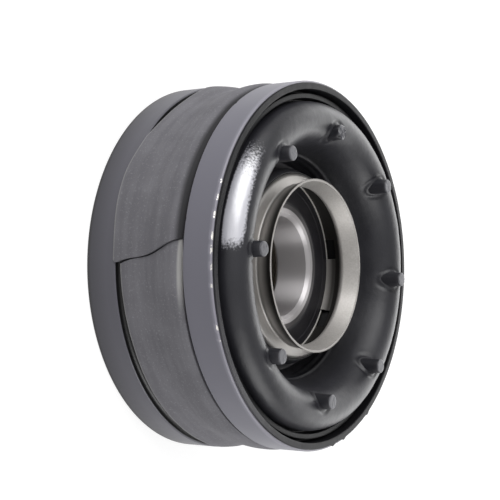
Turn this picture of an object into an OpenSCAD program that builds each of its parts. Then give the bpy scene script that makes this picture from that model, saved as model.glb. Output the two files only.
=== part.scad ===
// Driveshaft centre bearing: a sealed ball bearing in a pressed steel sleeve, carried by a moulded
// rubber cushion inside a rolled steel ring, with a rubber strip lying in the ring's channel.
// +Z runs along the shaft towards the front, and the rear rim stands on z = 0. Angles count from +X.

/* [Outer ring] */
// Outer radius of the rear rim
rear_rim_r = 63.5; // [63:0.1:66]
// Outer radius of the front rim
front_rim_r = 62.5; // [62:0.1:63.4]
// Wall of the rolled steel ring
ring_wall = 2; // [1.5:0.1:2.4]
// Height of the rear rim
rear_rim_h = 11.8; // [9:0.1:14]
// Width of the channel between the rims
channel_w = 25.7; // [23:0.1:28]
// Height of the front rim
front_rim_h = 10.9; // [10:0.1:13]
// Depth of the channel's floor below the lower rim
channel_depth = 2.3; // [1.8:0.1:2.8]
// Rounding of the rims' edges
rim_edge_r = 0.6; // [0.3:0.1:0.9]

/* [Insulator strip] */
// How far the strip stands out of the rims
strip_proud = 0.3; // [0:0.05:0.8]
// Room between the strip and the rear rim
strip_side_gap = 0.15; // [0.05:0.05:0.4]
// Room between the strip and the front rim
strip_front_gap = 0.6; // [0.3:0.05:1]
// Rounding of the strip's rear edge
strip_edge_r = 0.5; // [0.3:0.1:1]
// Length over which the strip's face falls towards the front rim
strip_dip_len = 4; // [2:0.1:6]
// Depth of that fall at the front rim
strip_dip = 0.9; // [0.4:0.1:1.4]
// Angle of the middle of the strip's joint
joint_angle = -95; // [-110:1:-92]
// Sideways run of the joint's slanting cut across the strip
joint_lean = 7.8; // [4:0.1:10]
// Bow of that cut to one side
joint_bow = 0.9; // [0:0.1:1.5]
// Height of the small wave in that cut
joint_wave = 0.35; // [0:0.05:0.6]
// Width of the cut
joint_gap = 0.4; // [0.2:0.05:0.8]
// Gap that the strip's lower end leaves at the rear rim
end_gap = 2.1; // [0.5:0.1:3]
// Second, shorter gap at the rear rim
side_gap = 0.5; // [0.2:0.1:1]
// Angle of the middle of the second gap
side_gap_angle = -150; // [-170:1:-120]
// Angle that the second gap covers to each side
side_gap_reach = 18; // [10:1:25]

/* [Rubber cushion] */
// Radius of the front roll's own section
roll_tube_r = 6.5; // [6:0.1:7]
// Room between the channel's wall and the widest part of the roll
roll_gap = 2.5; // [2.2:0.05:3]
// Wall of the rubber in the roll
roll_wall = 3.5; // [3:0.1:4]
// Depth of the roll's middle below the ring's front edge
roll_drop = 1.9; // [1:0.1:3]
// Width of the lip that covers the ring's front edge
lip_w = 2.9; // [2.4:0.1:3.4]
// Height of the lip over the ring's front edge
lip_h = 0.5; // [0.3:0.1:1.2]
// Depth of the two grooves between the lip and the roll, from the ring's front edge
groove_depth = 5.8; // [4:0.1:7]
// Depth of the ledge between these grooves, from the ring's front edge
ledge_depth = 1.6; // [1:0.1:3]
// Width of the groove between the lip and the ledge
slot_w = 1; // [0.6:0.1:1.2]
// Width of the ledge
ledge_w = 2; // [1.4:0.1:2.2]
// Wall of the rubber coat on the ring's inside
coat_wall = 5; // [4:0.1:6]
// Wall of the rubber hub on the sleeve at its rear end
hub_wall = 8.8; // [7:0.1:10]
// Wall of the collar that climbs the sleeve at the front
collar_wall = 1.8; // [1.2:0.1:2.4]
// Depth of the edge where the roll's inner flank ends, from the ring's front edge
flank_depth = 13.2; // [11:0.1:15]
// Width of the well between the collar and that edge
well_w = 3.9; // [3:0.1:4.5]
// Depth of the well below that edge
well_depth = 4.5; // [2:0.1:6]
// Height of the hub's rear end
hub_rear_z = 12; // [8:0.1:16]
// Number of moulded stop nubs on the roll
nub_count = 8; // [4:1:12]
// How far inside the roll's crest the nubs stand
nub_inset = 3.6; // [1.5:0.1:3.8]
// Radius of a nub at its foot
nub_foot_r = 2.8; // [2:0.1:3]
// Radius of a nub at its tip
nub_tip_r = 2.5; // [1.6:0.1:2.7]
// Height of the nubs' tips above the roll's crest
nub_rise = 3.4; // [2:0.1:6]
// Angle of the first nub
nub_angle = 38; // [0:1:44]

/* [Bearing sleeve] */
// Sheet of the sleeve and of the rear dust cover
sheet = 0.8; // [0.6:0.05:1]
// Depth that the sleeve's neck narrows by
neck_step = 4.1; // [3.6:0.1:4.6]
// How far the sleeve's nose widens again from the neck to its front edge
nose_flare = 1.8; // [0.8:0.1:2.4]
// Outer bend of the sleeve's shoulder
shoulder_bend_r = 1.6; // [1.3:0.1:2]
// Bend between shoulder and nose, on its outer side
nose_bend_r = 0.8; // [0.5:0.1:1.2]
// Turn of the shoulder between its two bends
shoulder_turn = 75; // [60:1:80]
// Depth of the shoulder's start below the ring's front edge
shoulder_drop = 9.5; // [8.5:0.1:10.2]
// Depth of the nose's end below the ring's front edge
nose_drop = 0.7; // [0:0.1:3]
// Number of lanced tabs that stop the bearing
tab_count = 3; // [2:1:4]
// Angle of the middle of the first tab
tab_angle = 76; // [0:1:119]
// Angle that a tab covers
tab_span = 36; // [20:1:40]
// Angle of the window left open at each end of a tab
tab_window = 13; // [8:1:16]
// Height of the tabs and their windows
tab_h = 3.4; // [2.4:0.1:4]
// Inward bend of a tab's free edge
tab_bend = 1; // [0.5:0.1:1.4]

/* [Ball bearing] */
// Radius of the bore for the shaft
bore_r = 17.5; // [17:0.1:18]
// Outer radius of the bearing
bearing_r = 31; // [30.6:0.1:31.4]
// Width of the inner race
bearing_w = 14; // [13:0.1:15]
// Depth of the bearing's front face below the ring's front edge
bearing_drop = 15.1; // [14:0.1:16]
// Share of the height between bore and outer face that a ball takes
ball_share = 0.588; // [0.54:0.002:0.62]
// Chamfer at the ends of the bore
bore_chamfer = 1.1; // [0.5:0.1:1.6]
// Number of balls
ball_count = 11; // [9:1:11]
// Share of the ball's radius that a race's groove is deep
groove_share = 0.408; // [0.36:0.002:0.44]
// Share of the ball's radius that a race's groove is wider by
groove_ease = 0.03; // [0.02:0.01:0.06]
// Sheet of the cage halves
cage_sheet = 0.7; // [0.5:0.05:0.8]
// Room between the cage and the races or the seals
cage_gap = 0.75; // [0.5:0.05:1]
// Radius of a cage rivet's shank
rivet_r = 0.6; // [0.4:0.05:0.7]
// Radius of a cage rivet's head
rivet_head_r = 1.1; // [0.9:0.05:1.3]
// Height of a cage rivet's head
rivet_head_h = 0.5; // [0.3:0.05:0.7]
// Thickness of a seal over the outer race's face
seal_h = 1.2; // [1:0.05:1.4]
// Sheet of the steel core in a seal
seal_core_sheet = 0.45; // [0.35:0.05:0.6]
// Width of the rubber lip inside a seal's core
seal_lip_w = 1.2; // [0.8:0.1:1.6]

/* [Clearances] */
// Room between two pieces that are bonded, pressed or seated together
fit_gap = 0.02; // [0.01:0.01:0.05]
// Running room between the seal lips and the inner race, and of the balls in their grooves
run_gap = 0.04; // [0.02:0.01:0.08]
// Room round a ball in its cage pocket
pocket_gap = 0.15; // [0.1:0.01:0.25]

/* [Hidden] */
$fn = 96;
arc_steps = 10;
// Overshoot of a cutting shape past the face that it cuts
over = 1;

front_rim_z = rear_rim_h + channel_w;
ring_h = front_rim_z + front_rim_h;
channel_floor_r = min(rear_rim_r, front_rim_r) - channel_depth;
channel_in_r = channel_floor_r - ring_wall;

lip_in_r = front_rim_r - lip_w;
roll_r = channel_in_r - roll_gap - roll_tube_r;
roll_z = ring_h - roll_drop;
roll_crest_z = roll_z + roll_tube_r;
hollow_tube_r = roll_tube_r - roll_wall;
nub_circle_r = roll_r - nub_inset;
coat_in_r = channel_in_r - coat_wall;

sleeve_in_r = bearing_r + fit_gap;
sleeve_out_r = sleeve_in_r + sheet;
collar_in_r = sleeve_out_r + fit_gap;
hub_r = collar_in_r + hub_wall;
collar_r = collar_in_r + collar_wall;
flank_r = collar_r + well_w;
flank_z = ring_h - flank_depth;
well_z = flank_z - well_depth;
shoulder_z = ring_h - shoulder_drop;
nose_z = ring_h - nose_drop;

bearing_front_z = ring_h - bearing_drop;
bearing_mid_z = bearing_front_z - bearing_w / 2;
bearing_rear_z = bearing_front_z - bearing_w;
pitch_r = (bore_r + bearing_r) / 2;
race_half_w = bearing_w / 2 - seal_h;
// A ball takes its share of the section, or what the seals leave for its cage
ball_r = min(
    ball_share * (bearing_r - bore_r) / 2,
    race_half_w - cage_gap - cage_sheet - pocket_gap);
groove_r = ball_r * (1 + groove_ease);
shoulder_reach = ball_r * (1 - groove_share);
inner_shoulder_r = pitch_r - shoulder_reach;
outer_shoulder_r = pitch_r + shoulder_reach;
cage_w = 2 * (shoulder_reach - cage_gap);
ball_step = 360 / ball_count;
pocket_r = ball_r + pocket_gap;

BALLS = [for (i = [1 : ball_count]) str("ball_", i)];

// Points along a round stretch of an outline
function arc(x, y, r, from, to) =
    [for (i = [0 : arc_steps])
        let (a = from + (to - from) * i / arc_steps)
        [x + r * cos(a), y + r * sin(a)]];

// Sideways place of the strip's cut, u running from 0 at the rear edge to 1 at the front edge
function joint_side(u) =
    joint_lean * (0.5 - u) + joint_bow * sin(180 * u) - joint_wave * sin(540 * u);

// Outline of a stepped sheet tube: a wide skirt from z_end, a shoulder at z_bend, and a nose up to z_nose
// that widens by flare from its neck
function stepped_tube(skirt_r, z_end, z_bend, z_nose, flare) =
    let (bend_x = skirt_r - shoulder_bend_r)
    let (neck_r = skirt_r - neck_step)
    let (nose_r = neck_r + flare)
    let (turn_x = neck_r + nose_bend_r)
    let (flat_x = bend_x + shoulder_bend_r * cos(shoulder_turn))
    let (meet_x = turn_x - nose_bend_r * cos(shoulder_turn))
    let (flat_rise = (flat_x - meet_x) / tan(shoulder_turn))
    let (turn_z = z_bend + (shoulder_bend_r + nose_bend_r) * sin(shoulder_turn) + flat_rise)
    let (nose_turn = 180 - atan(flare / (z_nose - turn_z)))
    concat(
        [[skirt_r, z_end]],
        arc(bend_x, z_bend, shoulder_bend_r, 0, shoulder_turn),
        arc(turn_x, turn_z, nose_bend_r, 180 + shoulder_turn, nose_turn),
        [[nose_r, z_nose], [nose_r - sheet, z_nose]],
        arc(turn_x, turn_z, nose_bend_r + sheet, nose_turn, 180 + shoulder_turn),
        arc(bend_x, z_bend, shoulder_bend_r - sheet, shoulder_turn, 0),
        [[skirt_r - sheet, z_end]]);

// Lays a flat outline of sideways place and height against the ring, and extrudes it outwards
module against_ring(reach) {
    rotate([90, 0, 90])
        linear_extrude(height = reach)
            children();
}

// Half of space below a plane that climbs by rise over the radius r, along +X
module below_slope(r, rise) {
    rotate([0, -atan(rise / r), 0])
        translate([-2 * r, -2 * r, -r])
            cube([4 * r, 4 * r, r]);
}

module outer_ring_section() {
    e = rim_edge_r;
    polygon(concat(
        arc(rear_rim_r - e, e, e, -90, 0),
        arc(rear_rim_r - e, rear_rim_h - e, e, 0, 90),
        [[channel_floor_r, rear_rim_h], [channel_floor_r, front_rim_z]],
        arc(front_rim_r - e, front_rim_z + e, e, -90, 0),
        arc(front_rim_r - e, ring_h - e, e, 0, 90),
        [[front_rim_r - ring_wall, ring_h], [front_rim_r - ring_wall, front_rim_z + ring_wall]],
        [[channel_in_r, front_rim_z + ring_wall], [channel_in_r, rear_rim_h - ring_wall]],
        [[rear_rim_r - ring_wall, rear_rim_h - ring_wall], [rear_rim_r - ring_wall, 0]]));
}

module outer_ring() {
    color("#5d5b63")
        rotate_extrude()
            outer_ring_section();
}

strip_in_r = channel_floor_r + fit_gap;
strip_rear_z = rear_rim_h + strip_side_gap;
strip_front_z = front_rim_z - strip_front_gap;
strip_rear_r = rear_rim_r + strip_proud;
strip_front_r = front_rim_r + strip_proud;
strip_dip_r = (strip_dip_len * strip_dip_len + strip_dip * strip_dip) / (2 * strip_dip);

module strip_section() {
    e = strip_edge_r;
    dip_z = strip_front_z - strip_dip_len;
    polygon(concat(
        [[strip_in_r, strip_rear_z]],
        arc(strip_rear_r - e, strip_rear_z + e, e, -90, 0),
        arc(strip_front_r - strip_dip_r, dip_z, strip_dip_r, 0, asin(strip_dip_len / strip_dip_r)),
        [[strip_in_r, strip_front_z]]));
}

// The wavy slanting cut between the strip's two ends
module strip_cut() {
    steps = 24;
    from_z = strip_rear_z - over;
    run_z = strip_front_z + over - from_z;
    line = [for (i = [0 : steps]) [joint_side(i / steps), from_z + run_z * i / steps]];
    back = [for (i = [steps : -1 : 0]) [joint_side(i / steps) - joint_gap, from_z + run_z * i / steps]];
    rotate([0, 0, joint_angle])
        against_ring(strip_rear_r + over)
            polygon(concat(line, back));
}

// The gap at the rear rim that tapers away from the joint over a quarter of a turn
module strip_end_gap() {
    intersection() {
        translate([0, 0, strip_rear_z])
            rotate([0, 0, -90])
                below_slope(strip_rear_r, end_gap);
        rotate([0, 0, joint_angle])
            translate([0, joint_side(0) - joint_gap, 0])
                cube([2 * strip_rear_r, 2 * strip_rear_r, 2 * rear_rim_h]);
    }
}

// The short gap at the rear rim, which fades out to both sides
module strip_side_cut() {
    rise = side_gap / (1 - cos(side_gap_reach));
    rotate([0, 0, side_gap_angle])
        translate([0, 0, strip_rear_z + side_gap - rise])
            below_slope(strip_rear_r, rise);
}

module insulator_strip() {
    color("#58585a")
        difference() {
            rotate_extrude()
                strip_section();
            strip_cut();
            strip_end_gap();
            strip_side_cut();
        }
}

// Room for rubber inside the ring: behind the rear rim, in the channel, behind the front rim and over it
module cushion_room_section() {
    back_r = rear_rim_r - ring_wall - fit_gap;
    coat_r = channel_in_r - fit_gap;
    fill_r = front_rim_r - ring_wall - fit_gap;
    back_z = rear_rim_h - ring_wall - fit_gap;
    fill_z = front_rim_z + ring_wall + fit_gap;
    lip_z = ring_h + fit_gap;
    lip_out_r = front_rim_r - rim_edge_r;
    e = lip_h * 0.7;
    roll_out_r = roll_r + roll_tube_r;
    roll_top_z = roll_crest_z + over;
    polygon(concat(
        [[0, rim_edge_r], [back_r, rim_edge_r], [back_r, back_z], [coat_r, back_z]],
        [[coat_r, fill_z], [fill_r, fill_z], [fill_r, lip_z], [lip_out_r, lip_z]],
        arc(lip_out_r - e, ring_h + lip_h - e, e, 0, 90),
        [[roll_out_r, ring_h + lip_h], [roll_out_r, roll_top_z], [0, roll_top_z]]));
}

// Rubber between the ring and the roll: the coat on the ring, the lip, and the ledge between two grooves
module cushion_outer_section() {
    groove_z = ring_h - groove_depth;
    ledge_z = ring_h - ledge_depth;
    ledge_r = lip_in_r - slot_w;
    lip_z = ring_h + lip_h;
    e = lip_h * 0.7;
    polygon(concat(
        [[coat_in_r, 0], [rear_rim_r, 0], [rear_rim_r, rear_rim_h]],
        [[front_rim_r, front_rim_z], [front_rim_r, lip_z]],
        arc(lip_in_r + e, lip_z - e, e, 90, 180),
        [[lip_in_r, groove_z], [ledge_r, groove_z], [ledge_r, ledge_z]],
        [[ledge_r - ledge_w, ledge_z], [ledge_r - ledge_w, groove_z], [roll_r, groove_z]],
        [[roll_r, roll_z - roll_tube_r], [coat_in_r, roll_z - 2 * roll_tube_r]]));
}

// The roll: round over its crest, and upright on the side of the groove
module cushion_roll_section() {
    foot_z = ring_h - groove_depth - over;
    translate([roll_r, roll_z])
        circle(roll_tube_r);
    translate([roll_r, foot_z])
        square([roll_tube_r, roll_z - foot_z]);
}

// Rubber between the roll and the sleeve: the hub, the collar, the well and the roll's inner flank
module cushion_inner_section() {
    foot = roll_r - roll_tube_r * 0.97;
    polygon([
        [collar_in_r, hub_rear_z],
        [hub_r + over, hub_rear_z],
        [roll_r, roll_z - roll_tube_r],
        [roll_r, roll_z],
        [foot, roll_z],
        [flank_r, flank_z],
        [flank_r - over, well_z],
        [collar_r, well_z],
        [collar_r, shoulder_z - collar_wall],
        [collar_in_r + collar_wall / 4, shoulder_z + collar_wall / 4],
        [collar_in_r, shoulder_z + collar_wall / 4]]);
}

// The space inside the roll, open to the rear
module cushion_hollow_section() {
    half_w = hollow_tube_r * 0.97;
    translate([roll_r, roll_z])
        circle(hollow_tube_r);
    polygon([
        [roll_r - half_w, roll_z],
        [hub_r, hub_rear_z - over],
        [hub_r, -over],
        [coat_in_r, -over],
        [coat_in_r, roll_z - 2 * roll_tube_r],
        [roll_r + half_w, roll_z]]);
}

module rubber_cushion() {
    // The nubs' feet end inside the roll, a little above its middle
    nub_sink = roll_tube_r * 0.9;
    color("#2a2a2c")
        difference() {
            union() {
                rotate_extrude()
                    intersection() {
                        cushion_room_section();
                        union() {
                            cushion_outer_section();
                            cushion_inner_section();
                            cushion_roll_section();
                        }
                    }
                for (i = [0 : nub_count - 1])
                    rotate([0, 0, nub_angle + i * 360 / nub_count])
                        translate([nub_circle_r, 0, roll_crest_z - nub_sink])
                            cylinder(h = nub_sink + nub_rise, r1 = nub_foot_r, r2 = nub_tip_r);
            }
            rotate_extrude()
                cushion_hollow_section();
        }
}

// A lanced tab: it hangs from its window's front edge and bends inwards to the bearing's front face
module sleeve_tab(free_z, root_z) {
    thin = sheet / 8;
    bend_z = root_z - sheet / 4;
    rotate([0, 0, -tab_span / 2])
        rotate_extrude(angle = tab_span)
            polygon([
                [sleeve_in_r - tab_bend, free_z],
                [sleeve_out_r - tab_bend, free_z],
                [sleeve_out_r - thin, bend_z],
                [sleeve_out_r - thin, root_z + sheet],
                [sleeve_in_r + thin, root_z + sheet],
                [sleeve_in_r + thin, bend_z]]);
}

module sleeve_window(free_z, root_z) {
    span = tab_span + 2 * tab_window;
    rotate([0, 0, -span / 2])
        rotate_extrude(angle = span)
            translate([sleeve_in_r - over, free_z - fit_gap])
                square([sheet + 2 * over, root_z - free_z + fit_gap]);
}

module bearing_sleeve() {
    free_z = bearing_front_z + fit_gap;
    root_z = free_z + tab_h;
    color("#8d8983") {
        difference() {
            rotate_extrude()
                polygon(stepped_tube(sleeve_out_r, hub_rear_z, shoulder_z, nose_z, nose_flare));
            for (i = [0 : tab_count - 1])
                rotate([0, 0, tab_angle + i * 360 / tab_count])
                    sleeve_window(free_z, root_z);
        }
        for (i = [0 : tab_count - 1])
            rotate([0, 0, tab_angle + i * 360 / tab_count])
                sleeve_tab(free_z, root_z);
    }
}

// A cup pressed into the sleeve from behind: its skirt holds the bearing against the tabs
module rear_dust_cover() {
    skirt_end = bearing_rear_z - fit_gap;
    nose_reach = nose_z - bearing_front_z - sheet;
    color("#8d8983")
        rotate_extrude()
            mirror([0, 1])
                polygon(stepped_tube(bearing_r, -skirt_end, -hub_rear_z, nose_reach - skirt_end, 0));
}

// Places its children once round each ball's centre
module at_balls() {
    for (i = [0 : ball_count - 1])
        rotate([0, 0, i * ball_step])
            translate([pitch_r, 0, bearing_mid_z])
                children();
}

module bearing_outer_race() {
    e = rim_edge_r;
    color("#b9b9b6")
        rotate_extrude()
            difference() {
                translate([0, bearing_mid_z])
                    polygon([
                        [outer_shoulder_r, -race_half_w],
                        [bearing_r - e, -race_half_w],
                        [bearing_r, e - race_half_w],
                        [bearing_r, race_half_w - e],
                        [bearing_r - e, race_half_w],
                        [outer_shoulder_r, race_half_w]]);
                translate([pitch_r + ball_r + run_gap - groove_r, bearing_mid_z])
                    circle(groove_r);
            }
}

module bearing_inner_race() {
    c = bore_chamfer;
    color("#c8c8c6")
        rotate_extrude()
            difference() {
                polygon([
                    [bore_r + c, bearing_rear_z],
                    [inner_shoulder_r, bearing_rear_z],
                    [inner_shoulder_r, bearing_front_z],
                    [bore_r + c, bearing_front_z],
                    [bore_r, bearing_front_z - c],
                    [bore_r, bearing_rear_z + c]]);
                translate([pitch_r - ball_r - run_gap + groove_r, bearing_mid_z])
                    circle(groove_r);
            }
}

module ball(i) {
    color("#d4d4d2")
        rotate([0, 0, i * ball_step])
            translate([pitch_r, 0, bearing_mid_z])
                sphere(ball_r);
}

// The front half of the pressed cage: flats between the balls, and a rounded pocket over each ball
module cage_half() {
    pocket_out_r = pocket_r + cage_sheet;
    difference() {
        intersection() {
            translate([0, 0, bearing_mid_z + fit_gap / 2])
                rotate_extrude()
                    translate([pitch_r - cage_w / 2, 0])
                        square([cage_w, pocket_out_r + over]);
            union() {
                translate([0, 0, bearing_mid_z + fit_gap / 2])
                    cylinder(h = cage_sheet, r = pitch_r + cage_w);
                at_balls()
                    sphere(pocket_out_r);
            }
        }
        at_balls()
            sphere(pocket_r);
        at_rivets()
            cylinder(h = 2 * over + cage_sheet * 2, r = rivet_r + fit_gap, center = true);
    }
}

module cage_front_half() {
    color("#a9a59c")
        cage_half();
}

module cage_rear_half() {
    color("#a9a59c")
        translate([0, 0, 2 * bearing_mid_z])
            mirror([0, 0, 1])
                cage_half();
}

// Places its children midway between each two balls
module at_rivets() {
    for (i = [0 : ball_count - 1])
        rotate([0, 0, (i + 0.5) * ball_step])
            translate([pitch_r, 0, bearing_mid_z])
                children();
}

module cage_rivets() {
    head_z = cage_sheet + fit_gap;
    color("#b5b2aa")
        at_rivets()
            rotate_extrude()
                polygon([
                    [0, -head_z - rivet_head_h],
                    [rivet_head_r, -head_z - rivet_head_h],
                    [rivet_head_r, -head_z],
                    [rivet_r, -head_z],
                    [rivet_r, head_z],
                    [rivet_head_r, head_z],
                    [rivet_head_r, head_z + rivet_head_h],
                    [0, head_z + rivet_head_h]]);
}

seal_lip_r = inner_shoulder_r + run_gap;
core_in_r = seal_lip_r + seal_lip_w;

// The steel core of the front seal: a washer on the outer race, with its rim turned up to the seal's face
module seal_core_section() {
    foot_z = bearing_front_z - seal_h + fit_gap;
    polygon([
        [core_in_r, foot_z],
        [bearing_r, foot_z],
        [bearing_r, bearing_front_z],
        [bearing_r - seal_core_sheet, bearing_front_z],
        [bearing_r - seal_core_sheet, foot_z + seal_core_sheet],
        [core_in_r, foot_z + seal_core_sheet]]);
}

// The rubber of the front seal: a face on the core and a lip that runs on the inner race
module seal_section() {
    foot_z = bearing_front_z - seal_h + fit_gap;
    face_z = foot_z + seal_core_sheet + fit_gap;
    top_z = bearing_front_z - seal_core_sheet / 4;
    polygon([
        [seal_lip_r, foot_z],
        [core_in_r - fit_gap, foot_z],
        [core_in_r - fit_gap, face_z],
        [bearing_r - seal_core_sheet - fit_gap, face_z],
        [bearing_r - seal_core_sheet - fit_gap, top_z],
        [seal_lip_r, top_z]]);
}

// Turns a front piece into the rear one
module rear_side() {
    translate([0, 0, 2 * bearing_mid_z])
        mirror([0, 0, 1])
            children();
}

module front_seal() {
    color("#1d1d1f")
        rotate_extrude()
            seal_section();
}

module front_seal_core() {
    color("#c0bfba")
        rotate_extrude()
            seal_core_section();
}

module rear_seal() {
    color("#1d1d1f")
        rear_side()
            rotate_extrude()
                seal_section();
}

module rear_seal_core() {
    color("#c0bfba")
        rear_side()
            rotate_extrude()
                seal_core_section();
}

outer_ring();
insulator_strip();
rubber_cushion();
bearing_sleeve();
rear_dust_cover();
bearing_outer_race();
bearing_inner_race();
for (i = [0 : ball_count - 1])
    ball(i);
cage_front_half();
cage_rear_half();
cage_rivets();
front_seal();
front_seal_core();
rear_seal();
rear_seal_core();
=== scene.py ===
"""Driveshaft centre bearing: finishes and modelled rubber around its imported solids, with studio and camera.

The part stands on its rear rim. +Z runs along the shaft towards the front, and angles count from +X.
"""

from __future__ import annotations

import logging
import math
from dataclasses import dataclass, field
from enum import Enum
from typing import Any

import bmesh
import bpy
from bmesh.types import BMesh
from mathutils import Matrix, Vector, noise
from mathutils.geometry import interpolate_bezier

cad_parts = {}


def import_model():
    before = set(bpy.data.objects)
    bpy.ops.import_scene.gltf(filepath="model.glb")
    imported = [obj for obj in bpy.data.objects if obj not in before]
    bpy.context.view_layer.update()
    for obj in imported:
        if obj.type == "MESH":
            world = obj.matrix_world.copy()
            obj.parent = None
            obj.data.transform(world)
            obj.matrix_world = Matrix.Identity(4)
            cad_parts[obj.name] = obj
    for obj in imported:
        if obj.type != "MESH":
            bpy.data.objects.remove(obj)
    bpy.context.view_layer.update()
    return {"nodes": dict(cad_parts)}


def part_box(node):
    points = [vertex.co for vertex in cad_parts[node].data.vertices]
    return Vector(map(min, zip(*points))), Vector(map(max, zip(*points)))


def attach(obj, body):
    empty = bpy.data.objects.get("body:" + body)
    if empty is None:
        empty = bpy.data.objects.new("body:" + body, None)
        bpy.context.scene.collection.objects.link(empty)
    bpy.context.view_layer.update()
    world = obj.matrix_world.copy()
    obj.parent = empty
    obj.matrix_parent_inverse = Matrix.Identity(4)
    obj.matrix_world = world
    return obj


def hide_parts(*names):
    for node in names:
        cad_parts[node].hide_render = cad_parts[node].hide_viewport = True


LOG = logging.getLogger("centre_bearing")
MM = 0.001
Outline = list[tuple[float, float]]
Place = tuple[float, float, float]
Tree = bpy.types.NodeTree
Node = bpy.types.Node
Socket = bpy.types.NodeSocket
Piece = bpy.types.Object


class Body(Enum):
    """Bodies of the frame that new pieces ride on."""

    HOUSING = "housing"


class Slot(Enum):
    """Names of material slots."""

    RING = "ring_paint"
    STRIP = "strip_rubber"
    CUSHION = "cushion_rubber"
    SEAL = "seal_rubber"


def linear(hex_colour: str) -> tuple[float, float, float, float]:
    """Turns an sRGB hex value into a linear colour.

    Args:
        hex_colour: six hex digits after a hash sign.

    Returns:
        Red, green, blue and an alpha of one.
    """
    parts = [int(hex_colour[i : i + 2], 16) / 255 for i in (1, 3, 5)]
    red, green, blue = (v / 12.92 if v <= 0.04045 else ((v + 0.055) / 1.055) ** 2.4 for v in parts)
    return red, green, blue, 1.0


def per(size_mm: float) -> float:
    """Gives the texture scale at which one feature measures size_mm."""
    return 1.0 / (size_mm * MM)


def feed(node: Node, inputs: dict[Any, Any]) -> None:
    """Sets or links some inputs of a node.

    Args:
        node: the node.
        inputs: by each input's name or number a value, an sRGB hex colour, an output to link,
            or a node, which stands for its first output in use.
    """
    for key, value in inputs.items():
        if isinstance(value, Node):
            value = next(output for output in value.outputs if output.enabled)
        if isinstance(value, Socket):
            node.id_data.links.new(value, node.inputs[key])
        else:
            node.inputs[key].default_value = linear(value) if isinstance(value, str) else value


def add(tree: Tree, kind: str, inputs: dict[Any, Any] | None = None, **settings: Any) -> Node:
    """Adds one shader node to a tree.

    Args:
        tree: the node tree.
        kind: the node's type name after the words ShaderNode.
        inputs: what to feed it.
        settings: properties of the node.

    Returns:
        The new node.
    """
    node = tree.nodes.new("ShaderNode" + kind)
    for name, value in settings.items():
        setattr(node, name, value)
    feed(node, inputs or {})
    return node


def lay_coats(tree: Tree, ground: Any, coats: list[tuple[Any, str]]) -> Any:
    """Lays colours over a ground in their order.

    Args:
        tree: the node tree.
        ground: the colour below, or what gives it.
        coats: a mask and a colour for each coat, which shows where its mask is 1.

    Returns:
        What gives the colour on top.
    """
    for mask, colour in coats:
        ground = add(tree, "Mix", {0: mask, 6: ground, 7: colour}, data_type="RGBA")
    return ground


def round_axis(tree: Tree, where: Socket) -> tuple[Socket, Socket]:
    """Gives the distance from the shaft's axis and the height, from object coordinates."""
    place = add(tree, "SeparateXYZ", {"Vector": where})
    flat = add(tree, "CombineXYZ", {"X": place.outputs["X"], "Y": place.outputs["Y"]})
    radius = add(tree, "VectorMath", {0: flat}, operation="LENGTH").outputs["Value"]
    return radius, place.outputs["Z"]


def smooth_step(value: float, low: float, high: float) -> float:
    """Gives 0 below low, 1 above high and an even blend between them."""
    t = min(max((value - low) / (high - low), 0.0), 1.0)
    return t * t * (3 - 2 * t)


def hump(value: float, middle: float, reach: float) -> float:
    """Gives 1 at the middle, which fades out smoothly over about twice the reach."""
    return math.exp(-(((value - middle) / reach) ** 2))


def plateau(value: float, start: float, full: float, fall: float, end: float) -> float:
    """Gives 1 between full and fall, and an even blend to 0 at start and at end."""
    return smooth_step(value, start, full) * (1 - smooth_step(value, fall, end))


def turn_from(angle: float, centre: float) -> float:
    """Gives the turn from centre to angle in degrees, between -180 and 180."""
    return (angle - centre + 180.0) % 360.0 - 180.0


def angle_of(point: Vector) -> float:
    """Gives the angle of a point's first two measures, in degrees."""
    return math.degrees(math.atan2(point.y, point.x))


def arc(centre: tuple[float, float], radius: float, start: float, end: float, steps: int = 6) -> Outline:
    """Gives points along a round stretch of an outline.

    Args:
        centre: radius and height of the arc's middle.
        radius: the arc's own radius.
        start: first angle in degrees.
        end: last angle in degrees.
        steps: number of chords.

    Returns:
        The points, both ends included.
    """
    angles = [math.radians(start + (end - start) * i / steps) for i in range(steps + 1)]
    return [(centre[0] + radius * math.cos(a), centre[1] + radius * math.sin(a)) for a in angles]


def stretch(start: tuple[float, float], end: tuple[float, float], steps: int) -> Outline:
    """Gives evenly spaced points along a straight stretch of an outline, without its end."""
    first, last = Vector(start), Vector(end)
    return [tuple(first.lerp(last, i / steps)) for i in range(steps)]


def spin_outline(outline: Outline, steps: int) -> BMesh:
    """Turns a closed outline once round the shaft's axis.

    Args:
        outline: radius and height of each corner.
        steps: number of sections round the axis.

    Returns:
        The closed mesh, with its faces pointing outwards.
    """
    bm = bmesh.new()
    corners = [bm.verts.new((r, 0.0, z)) for r, z in outline]
    sides = [bm.edges.new(pair) for pair in zip(corners, corners[1:] + corners[:1])]
    bmesh.ops.spin(
        bm, geom=corners + sides, cent=(0, 0, 0), axis=(0, 0, 1), angle=math.tau, steps=steps, use_merge=True
    )
    bmesh.ops.remove_doubles(bm, verts=bm.verts, dist=1e-7)
    bmesh.ops.recalc_face_normals(bm, faces=bm.faces)
    return bm


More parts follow.
